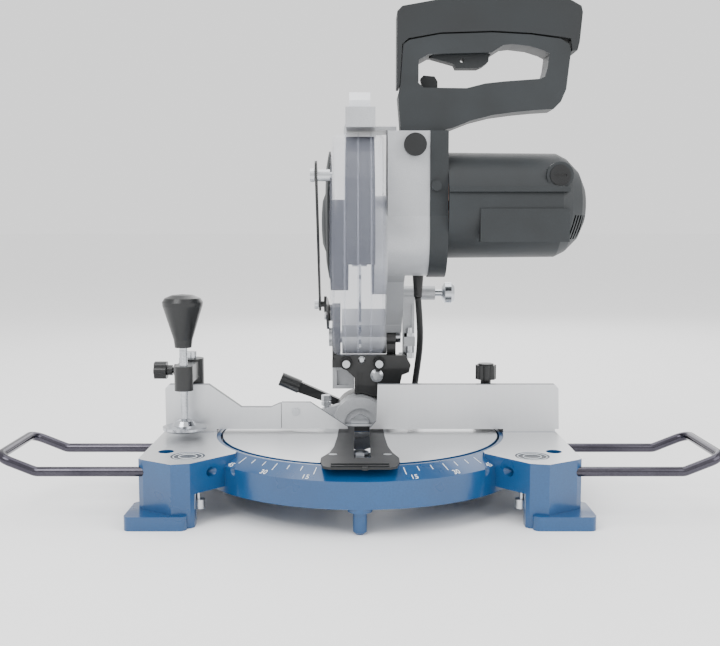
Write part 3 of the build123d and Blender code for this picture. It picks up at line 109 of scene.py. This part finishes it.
def finish(name, colour, second, metallic, rough, grain, depth, spread=0.08, stretch=(1, 1, 1),
           patch=None, **shader):
    """A moulded, painted or machined surface.

    colour and second are mixed by a noise whose grain is in mm, which also moves the
    roughness by spread and raises the surface by depth in mm. stretch draws the noise out
    along an axis, as brushing does. patch(tree, place, colour) may change the colour.
    """
    made = bpy.data.materials.new(name)
    made.use_nodes = True
    tree = made.node_tree
    body = tree.nodes["Principled BSDF"]
    place = add(tree, "ShaderNodeTexCoord").outputs["Object"]
    drawn = add(tree, "ShaderNodeMapping", sockets={"Scale": stretch}, links={"Vector": place})
    fine = add(tree, "ShaderNodeTexNoise", sockets={"Scale": 1 / (grain * MM), "Detail": 4.0},
               links={"Vector": drawn.outputs[0]}).outputs[0]
    broad = add(tree, "ShaderNodeTexNoise", sockets={"Scale": BROAD_SCALE, "Detail": 3.0},
                links={"Vector": place}).outputs[0]
    both = add(tree, "ShaderNodeMath", {"operation": "MULTIPLY"}, links={0: fine, 1: broad}).outputs[0]
    ramp = add(tree, "ShaderNodeMapRange", sockets={1: NOISE_LOW, 2: NOISE_HIGH}, links={0: both}).outputs[0]
    mixed = add(tree, "ShaderNodeMix", {"data_type": "RGBA"}, {6: linear(colour), 7: linear(second)},
                {0: ramp}).outputs[2]
    level = add(tree, "ShaderNodeMapRange", sockets={3: rough - spread, 4: rough + spread},
                links={0: broad}).outputs[0]
    metal = None
    if patch:
        mixed, level, metal = patch(tree, place, mixed, level)
    bump = add(tree, "ShaderNodeBump", sockets={"Strength": BUMP_STRENGTH, "Distance": depth * MM},
               links={"Height": fine})
    body.inputs["Metallic"].default_value = metallic
    for key, value in shader.items():
        body.inputs[key.replace("_", " ")].default_value = value
    for key, source in (("Base Color", mixed), ("Roughness", level), ("Normal", bump.outputs[0])):
        tree.links.new(source, body.inputs[key])
    if metal is not None:
        tree.links.new(metal, body.inputs["Metallic"])
    return made


MARK_SCALE = 262.0      # a wave texture repeats every 0.314 / scale metres, so 1.2 mm
FACING = 0.9            # a normal counts as facing the axis above this cosine
BARE_ROUGH, BARE_METAL = 0.36, 0.85


def machined(low, axis, sign, rings=False):
    """Bare cut metal where the surface faces one way, paint elsewhere.

    The mask is 1 where the normal's part along the axis, times sign, is above FACING and
    the place is above low in mm. Cutter marks are 1.2 mm apart, coarser than real ones.
    """
    def patch(tree, place, mixed, level):
        normal = add(tree, "ShaderNodeNewGeometry").outputs["True Normal"]
        facing = add(tree, "ShaderNodeSeparateXYZ", links={0: normal}).outputs[axis]
        turned = add(tree, "ShaderNodeMath", {"operation": "MULTIPLY"}, {1: sign},
                     {0: facing}).outputs[0]
        flat = add(tree, "ShaderNodeMath", {"operation": "GREATER_THAN"}, {1: FACING},
                   {0: turned}).outputs[0]
        height = add(tree, "ShaderNodeSeparateXYZ", links={0: place}).outputs[2]
        above = add(tree, "ShaderNodeMath", {"operation": "GREATER_THAN"}, {1: low * MM},
                    {0: height}).outputs[0]
        mask = add(tree, "ShaderNodeMath", {"operation": "MULTIPLY"}, links={0: flat, 1: above}).outputs[0]
        kind = {"wave_type": "RINGS", "rings_direction": "Z"} if rings else {"bands_direction": "X"}
        marks = add(tree, "ShaderNodeTexWave", kind,
                    {"Scale": MARK_SCALE, "Distortion": 0.6, "Detail": 1.0},
                    {"Vector": place}).outputs["Fac"]
        bare = add(tree, "ShaderNodeMix", {"data_type": "RGBA"},
                   {6: linear("#CFD1D3"), 7: linear("#DEDFE1")}, {0: marks}).outputs[2]
        colour = add(tree, "ShaderNodeMix", {"data_type": "RGBA"},
                     links={0: mask, 6: mixed, 7: bare}).outputs[2]
        shine = add(tree, "ShaderNodeMix", {"data_type": "FLOAT"}, {3: BARE_ROUGH},
                    {0: mask, 2: level}).outputs[0]
        metal = add(tree, "ShaderNodeMath", {"operation": "MULTIPLY"}, {1: BARE_METAL}, {0: mask}).outputs[0]
        return colour, shine, metal
    return patch


# ---- finishes ------------------------------------------------------------------------
# Each line names the real material, how it was made and what that gives the eye.
BLUE = dict(colour="#053E6C", second="#07497B", metallic=0.0, rough=0.3, grain=1.6, depth=0.05,
            Coat_Weight=0.5, Coat_Roughness=0.12)
# gloss enamel sprayed on die-cast aluminium: slight orange peel, tops milled bare
base_paint = finish("blue_enamel_on_die_cast_aluminium", patch=machined(59.6, 2, 1), **BLUE)
table_paint = finish("blue_enamel_turntable_milled_top", patch=machined(59.6, 2, 1, rings=True), **BLUE)
post_paint = finish("blue_enamel_on_steel_post", **BLUE)
# extruded aluminium fence: milled front face, dark anodised edges
fence_metal = finish("milled_aluminium_fence", "#55585C", "#6A6D71", 0.7, 0.42, 0.8, 0.02,
                     patch=machined(50, 1, -1))
# stove-enamelled casting: semi-gloss black with a fine texture
black_cast = finish("black_enamel_on_casting", "#0B0C0D", "#17191B", 0.0, 0.38, 0.9, 0.06,
                    Coat_Weight=0.25)
# pressed steel guard, dip-painted black: even and satin, so the blade's shroud reads dark
shroud_black = finish("black_dip_paint_on_steel", "#060708", "#0C0D0E", 0.0, 0.6, 0.9, 0.004,
                      Specular_IOR_Level=0.25)
# die-cast gearbox and guard carrier, silver lacquered: metallic flake, soft shine
silver_cast = finish("silver_lacquered_casting", "#A9ABAE", "#C6C8CB", 0.35, 0.4, 0.7, 0.04)
# glass-filled nylon: matt with spark-eroded grain
nylon = finish("glass_filled_nylon_grained", "#15191B", "#23292D", 0.0, 0.52, 0.55, 0.05)
grip = finish("soft_grip_elastomer_moulded", "#121517", "#1C2124", 0.0, 0.64, 0.4, 0.07)
# phenolic and moulded knobs: smoother, a little flow variation
phenolic = finish("black_phenolic_moulded", "#0C0D0E", "#191B1D", 0.0, 0.3, 1.2, 0.02)
insert_plastic = finish("black_abs_table_insert", "#0E0F11", "#1A1C1F", 0.0, 0.46, 0.8, 0.04)
# zinc plated fasteners: bright, faintly mottled
zinc = finish("zinc_plated_steel", "#B9BCC0", "#D2D4D6", 1.0, 0.3, 0.6, 0.01)
# turned and polished steel pins and spindle
polished = finish("turned_polished_steel", "#B4B7BC", "#CDD0D4", 1.0, 0.2, 0.35, 0.01, stretch=(1, 1, 6))
# black chrome on bent steel rod: dark mirror, drawn marks along x
chrome = finish("black_chrome_on_steel_rod", "#3C3A42", "#56545C", 1.0, 0.16, 0.5, 0.008,
                spread=0.04, stretch=(0.2, 1, 1))
# ground and polished blade plate
blade_steel = finish("ground_saw_blade_steel", "#A5A8AC", "#C6C8CB", 1.0, 0.28, 0.45, 0.01)
# enamelled copper windings over laminations
copper = finish("enamelled_copper_winding", "#8A4A22", "#B0683A", 0.9, 0.4, 0.4, 0.06, stretch=(8, 1, 1))
rubber = finish("vulcanised_rubber_bumper", "#101112", "#1B1C1D", 0.0, 0.72, 0.5, 0.05)
pvc = finish("pvc_cord_sheath", "#0D0E0F", "#191A1B", 0.0, 0.5, 0.7, 0.03)
badge_print = finish("badge_gloss_disc", "#101A26", "#1B2A3C", 0.0, 0.25, 1.0, 0.01)
ink = finish("white_scale_ink", "#DDE3E8", "#EDF1F4", 0.0, 0.5, 0.5, 0.01)
# injection moulded polycarbonate: clear, with a faint cool tint
clear = finish("clear_polycarbonate_moulded", "#A9AEC0", "#C4C8D6", 0.0, 0.12, 2.5, 0.002,
               spread=0.04, Alpha=0.13, IOR=1.58)
frosted = finish("frosted_polycarbonate_moulded", "#E6E9EE", "#F6F8FA", 0.0, 0.36, 1.0, 0.03, Alpha=0.82)

WEARS = {
    base_paint: ["base_casting"], post_paint: ["front_support_post"], table_paint: ["turntable"],
    fence_metal: ["fence_left", "fence_middle", "fence_right"],
    badge_print: ["wing_badges"],
    black_cast: ["clamp_arm", "tilt_arm", "guard_lever", "guard_lever_bracket",
                 "bevel_lock_lever"],
    shroud_black: ["inner_guard"],
    silver_cast: ["bevel_trunnion", "arm_brackets", "gearbox", "dust_box"],
    nylon: ["motor_housing", "motor_flange", "handle_body", "guard_cover", "switch_module"],
    grip: ["handle_cap", "trigger", "release_lever"],
    phenolic: ["fence_knob", "clamp_knob", "clamp_lock_knob", "spindle_lock_button", "brush_caps"],
    insert_plastic: ["kerf_insert", "cord_clip"],
    zinc: ["base_screws", "turntable_screws", "arm_screws", "bevel_pivot_bolt", "guard_stud",
           "arbor_bolt", "chop_shaft"],
    polished: ["clamp_post", "clamp_spindle", "clamp_pad", "transport_pin", "arbor_shaft",
               "arbor_bearings", "driven_gear", "blade_flanges"],
    chrome: ["extension_bar_left", "extension_bar_right"],
    blade_steel: ["blade"], copper: ["armature", "stator"], rubber: ["arm_bumpers"],
    pvc: ["cord_gland", "plug"], clear: ["lower_guard"], frosted: ["spout_cap"],
}
for made, names in WEARS.items():
    for name in names:
        for slot in NODES[name].material_slots:
            slot.material = made


# ---- surfaces ------------------------------------------------------------------------
def surface(name, points, faces, made, body, slot, smooth=True):
    """A mesh from arrays of corners and faces, riding on a body."""
    mesh = bpy.data.meshes.new(name)
    mesh.from_pydata(np.asarray(points).reshape(-1, 3).tolist(), [], faces)
    mesh.materials.append(made)
    mesh.polygons.foreach_set("use_smooth", [smooth] * len(mesh.polygons))
    piece = bpy.data.objects.new(name, mesh)
    bpy.context.scene.collection.objects.link(piece)
    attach(piece, body)
    return piece


def loft(rings):
    """Corners and faces of a closed skin through rings of equal count, its two ends capped."""
    rings = np.asarray(rings, float)
    count, around = rings.shape[:2]
    index = np.arange(count * around).reshape(count, around)
    after = np.roll(index, -1, axis=1)
    sides = np.stack([index[:-1], after[:-1], after[1:], index[1:]], -1).reshape(-1, 4)
    return rings, sides.tolist() + [index[0][::-1].tolist(), index[-1].tolist()]


# ---- cords ---------------------------------------------------------------------------
CORD_D = 0.007
LEAD_ROUTE = [(61, 20, 200), (64, 30, 172), (65, 43, 146), (63, 57, 121), (61, 71, 99), (60.5, 89.5, 83)]
MAINS_ROUTE = [(60, 104.8, 80), (57, 124, 82), (44, 150, 84), (27, 178, 83), (13, 204, 68), (4, 219, 46),
               (-0.5, 233, 25), (-2.5, 251, 10), (-3.5, 276, 3.8)]
COIL_X, COIL_Y = -58.2, 300.0
PER_TURN = 16


def coil_points():
    """The coil: angle grows by even steps; radius and height follow straight lines between
    knots given in turns, so each turn lies a cord's width from the next."""
    turns = [0, 3.0, 3.25, 5.25, 5.5, 5.98, 6.15, 6.25]
    radius = [54.2, 33.2, 33.2, 47.2, 47.4, 47.6, 54.8, 55.2]
    height = [3.6, 3.6, 10.7, 10.7, 17.8, 17.8, 15.0, 11.4]
    t = np.arange(0, turns[-1] + 1e-6, 1 / PER_TURN)
    r, z, a = np.interp(t, turns, radius), np.interp(t, turns, height), 2 * np.pi * t
    return np.stack([COIL_X + r * np.cos(a), COIL_Y + r * np.sin(a), z], 1).tolist()


def cord_curve(name, points, made):
    """A round cord along one NURBS spline of the given points in mm."""
    curve = bpy.data.curves.new(name, "CURVE")
    curve.dimensions, curve.bevel_depth, curve.bevel_resolution = "3D", CORD_D / 2, 4
    curve.use_fill_caps = True
    line = curve.splines.new("NURBS")
    line.points.add(len(points) - 1)
    line.points.foreach_set("co", [v for p in points for v in (p[0] * MM, p[1] * MM, p[2] * MM, 1)])
    line.order_u, line.use_endpoint_u, line.resolution_u = 3, True, 6
    curve.materials.append(made)
    piece = bpy.data.objects.new(name, curve)
    bpy.context.scene.collection.objects.link(piece)
    return piece


lead = cord_curve("motor_lead_sheath", LEAD_ROUTE, pvc)
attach(lead, "head")
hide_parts("motor_lead")

TO_PLUG = [(COIL_X - 10, COIL_Y + 56, 11.1), (COIL_X - 22, COIL_Y + 56, 11)]
mains = cord_curve("mains_cord_sheath", MAINS_ROUTE + coil_points() + TO_PLUG, pvc)
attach(mains, "turntable")
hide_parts("mains_cord", "cord_coil")


# ---- mitre scale on the ring ---------------------------------------------------------
BAND_TOP, BAND_R, BAND_FALL = 59.2, 148.0, 0.46   # the band's upper edge and its slope


def ticks():
    """Scale marks: thin bars lying on the sloped band of the ring, one every 5 degrees,
    longer every 15. The band falls from z 59.2 at radius 148 to 50 at radius 168."""
    angles = np.arange(-45, 46, 5)
    length = np.where(angles % 15 == 0, 9.0, 5.5)
    keep = np.abs(angles) > 14
    a = np.radians(angles[keep] - 90)[:, None]
    half = np.array([-0.35, 0.35, 0.35, -0.35])
    near = np.array([0, 0, 1, 1])
    r = 151 + near * length[keep][:, None]
    out = np.stack([np.cos(a) * r - np.sin(a) * half, np.sin(a) * r + np.cos(a) * half,
                    BAND_TOP - (r - BAND_R) * BAND_FALL + 0.12], -1)
    under = out - [0, 0, 0.5]
    points = np.concatenate([under, out], 1) * MM
    one = [(3, 2, 1, 0), (4, 5, 6, 7), (0, 1, 5, 4), (1, 2, 6, 5), (2, 3, 7, 6), (3, 0, 4, 7)]
    return points, [tuple(8 * k + i for i in f) for k in range(len(points)) for f in one]


surface("mitre_scale_marks", *ticks(), ink, "base", "blue_enamel", smooth=False)


def scale_number(text, degrees):
    """A degree number lying on the ring's sloped band, made a mesh with its place applied."""
    curve = bpy.data.curves.new("number", "FONT")
    curve.body, curve.size, curve.extrude, curve.align_x = text, 0.0075, 0.0001, "CENTER"
    text_object = bpy.data.objects.new("number", curve)
    bpy.context.scene.collection.objects.link(text_object)
    mesh = bpy.data.meshes.new_from_object(text_object)
    bpy.data.objects.remove(text_object)
    a = math.radians(degrees)
    co = np.empty(len(mesh.vertices) * 3)
    mesh.vertices.foreach_get("co", co)
    x, y, z = co.reshape(-1, 3).T
    r = 0.1665 - y
    place = np.stack([r * math.sin(a) + x * math.cos(a), -r * math.cos(a) + x * math.sin(a),
                      (BAND_TOP - (r / MM - BAND_R) * BAND_FALL + 0.25) * MM + z], 1)
    mesh.vertices.foreach_set("co", place.ravel())
    mesh.materials.clear()
    mesh.materials.append(ink)
    piece = bpy.data.objects.new(f"scale_number_{'left' if degrees < 0 else 'right'}_{text}", mesh)
    bpy.context.scene.collection.objects.link(piece)
    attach(piece, "base")


for number in (15, 30, 45):
    for side in (-1, 1):
        scale_number(str(number), side * (number + 2.2))

# ---- clear lower guard ---------------------------------------------------------------
guard_low, guard_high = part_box("lower_guard")
blade_low, blade_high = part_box("blade")
GUARD_LEFT, GUARD_RIGHT = guard_low[0] / MM, guard_high[0] / MM
BLADE_Y = (blade_low[1] + blade_high[1]) / 2 / MM
BLADE_Z = (blade_low[2] + blade_high[2]) / 2 / MM
GUARD_R, NECK_R = BLADE_Y - guard_low[1] / MM, 50.0
GUARD_WALL, GUARD_ROUND = 2.0, 8.0
LEFT_BORE, RIGHT_BORE = NECK_R - 3.6, NECK_R + 0.15


def guard_section(inset):
    """x and radius of the guard's skin: up the left wall, a quarter circle, across the rim,
    a quarter circle and down the right wall, all moved inwards by inset."""
    turn = np.linspace(0, np.pi / 2, 9)
    bend = GUARD_ROUND - inset
    left, right, rim = GUARD_LEFT + inset, GUARD_RIGHT - inset, GUARD_R - inset
    x = [[left], left + bend * (1 - np.cos(turn)), right - bend * (1 - np.sin(turn)), [right]]
    r = [[LEFT_BORE], rim - bend * (1 - np.sin(turn)), rim - bend * (1 - np.cos(turn)), [RIGHT_BORE]]
    return np.stack([np.concatenate(x), np.concatenate(r)], 1)


def carried_round(section, start, end, steps):
    """A closed section of x and radius carried round the blade axis between two angles in
    degrees: y and z are the axis plus radius times cosine and sine. Faces point outwards."""
    x, r = np.asarray(section, float).T
    a = np.radians(np.linspace(start, end, steps))[:, None]
    rings = np.stack([x + 0 * a, BLADE_Y + r * np.cos(a), BLADE_Z + r * np.sin(a)], -1) * MM
    points, faces = loft(rings)
    if abs(end - start) >= 360:
        faces = faces[:-2]
    flat = points.reshape(-1, 3)
    side = np.array([f for f in faces if len(f) == 4])
    p, q, w, v = (flat[side[:, k]] for k in range(4))
    middle = flat.mean(0)
    volume = np.einsum("ij,ij->i", (p + w) / 2 - middle, np.cross(w - p, v - q)).sum()
    return points, faces if volume > 0 else [f[::-1] for f in faces]


GUARD_FROM, GUARD_TO = 92, 262
guard_skin = np.concatenate([guard_section(0.0), guard_section(GUARD_WALL)[::-1]])
guard_shell = surface("clear_guard_shell", *carried_round(guard_skin, GUARD_FROM, GUARD_TO, 86),
                      clear, "lower_guard", "clear_polycarbonate")
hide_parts("lower_guard")
for word, near, far, bore in (("left", GUARD_LEFT, GUARD_LEFT + GUARD_WALL, LEFT_BORE),
                              ("right", GUARD_RIGHT - GUARD_WALL, GUARD_RIGHT, RIGHT_BORE)):
    hoop = [(near, bore), (near, NECK_R + 3.3), (far, NECK_R + 3.3), (far, bore)]
    surface(f"guard_neck_{word}", *carried_round(hoop, GUARD_TO, GUARD_FROM + 360, 72), clear,
            "lower_guard", "clear_polycarbonate", smooth=False)
# Moulded ribs along the rim: half-round beads, a middle one over the parting line.
for number, place_x in enumerate((-14.0, -1.75, 10.5)):
    turn = np.linspace(0, np.pi, 7)
    bead = np.stack([place_x - 0.9 * np.cos(turn), GUARD_R - 0.1 + 0.7 * np.sin(turn)], 1)
    surface(f"guard_rim_rib_{number}", *carried_round(bead, GUARD_FROM + 4, GUARD_TO - 4, 80), clear,
            "lower_guard", "clear_polycarbonate")

# ---- small detail --------------------------------------------------------------------
def ring_bead(centre, radius, thick, around=72, section=10):
    """A torus about z: a small circle of the given thickness carried round a large one."""
    u = np.linspace(0, 2 * np.pi, around, endpoint=False)[:, None]
    v = np.linspace(0, 2 * np.pi, section, endpoint=False)[None, :]
    r = radius + thick * np.cos(v)
    points = np.stack([centre[0] + r * np.cos(u), centre[1] + r * np.sin(u),
                       centre[2] + thick * np.sin(v) + 0 * u], -1)
    index = np.arange(around * section).reshape(around, section)
    on, up = np.roll(index, -1, 0), np.roll(index, -1, 1)
    both = np.roll(on, -1, 1)
    return points * MM, np.stack([index, on, both, up], -1).reshape(-1, 4).tolist()


def thread(centre, core, low_z, high_z, pitch=1.5, crest=0.35, steps=28):
    """A screw thread: a triangle whose tip stands crest above the core, carried up a helix
    that climbs one pitch a turn, with both ends closed."""
    t = np.linspace(0, (high_z - low_z) / pitch, int((high_z - low_z) / pitch * steps))
    a = 2 * np.pi * t
    shape = ((core - 0.2, -0.42), (core + crest, 0.0), (core - 0.2, 0.42))
    rings = [np.stack([centre[0] + r * np.cos(a), centre[1] + r * np.sin(a),
                       low_z + pitch * t + dz], -1) for r, dz in shape]
    points, faces = loft(np.stack(rings, 1) * MM)
    return points, faces


BADGE_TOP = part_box("wing_badges")[1][2] / MM
BADGE_X, BADGE_Y = 161.0, -111.0
RING_SUNK, RING_THICK = 0.1, 0.35
for side, word in ((-1, "left"), (1, "right")):
    for radius in (13.6, 8.4):
        surface(f"badge_ring_{word}_{int(radius)}",
                *ring_bead((side * BADGE_X, BADGE_Y, BADGE_TOP - RING_SUNK), radius, RING_THICK),
                ink, "base", "badge_print")

spindle_low, spindle_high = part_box("clamp_spindle")
SPINDLE_X = (spindle_low[0] + spindle_high[0]) / 2 / MM
SPINDLE_Y = (spindle_low[1] + spindle_high[1]) / 2 / MM
SPINDLE_R = (spindle_high[0] - spindle_low[0]) / 2 / MM
for word, foot, top in (("lower", 76.0, 104.0), ("upper", 136.0, 150.0)):
    surface(f"clamp_thread_{word}", *thread((SPINDLE_X, SPINDLE_Y), SPINDLE_R, foot, top),
            zinc, "clamp_spindle", "bright_steel")

# ---- floor ---------------------------------------------------------------------------
floor_mesh = bpy.data.meshes.new("floor")
floor_mesh.from_pydata([(-60, -60, 0), (60, -60, 0), (60, 60, 0), (-60, 60, 0)], [], [(0, 1, 2, 3)])
floor = bpy.data.objects.new("floor", floor_mesh)
bpy.context.scene.collection.objects.link(floor)
floor_mesh.materials.append(finish("pale_studio_floor", "#FAFAFA", "#FCFCFC", 0.0, 0.85, 6.0, 0.0))
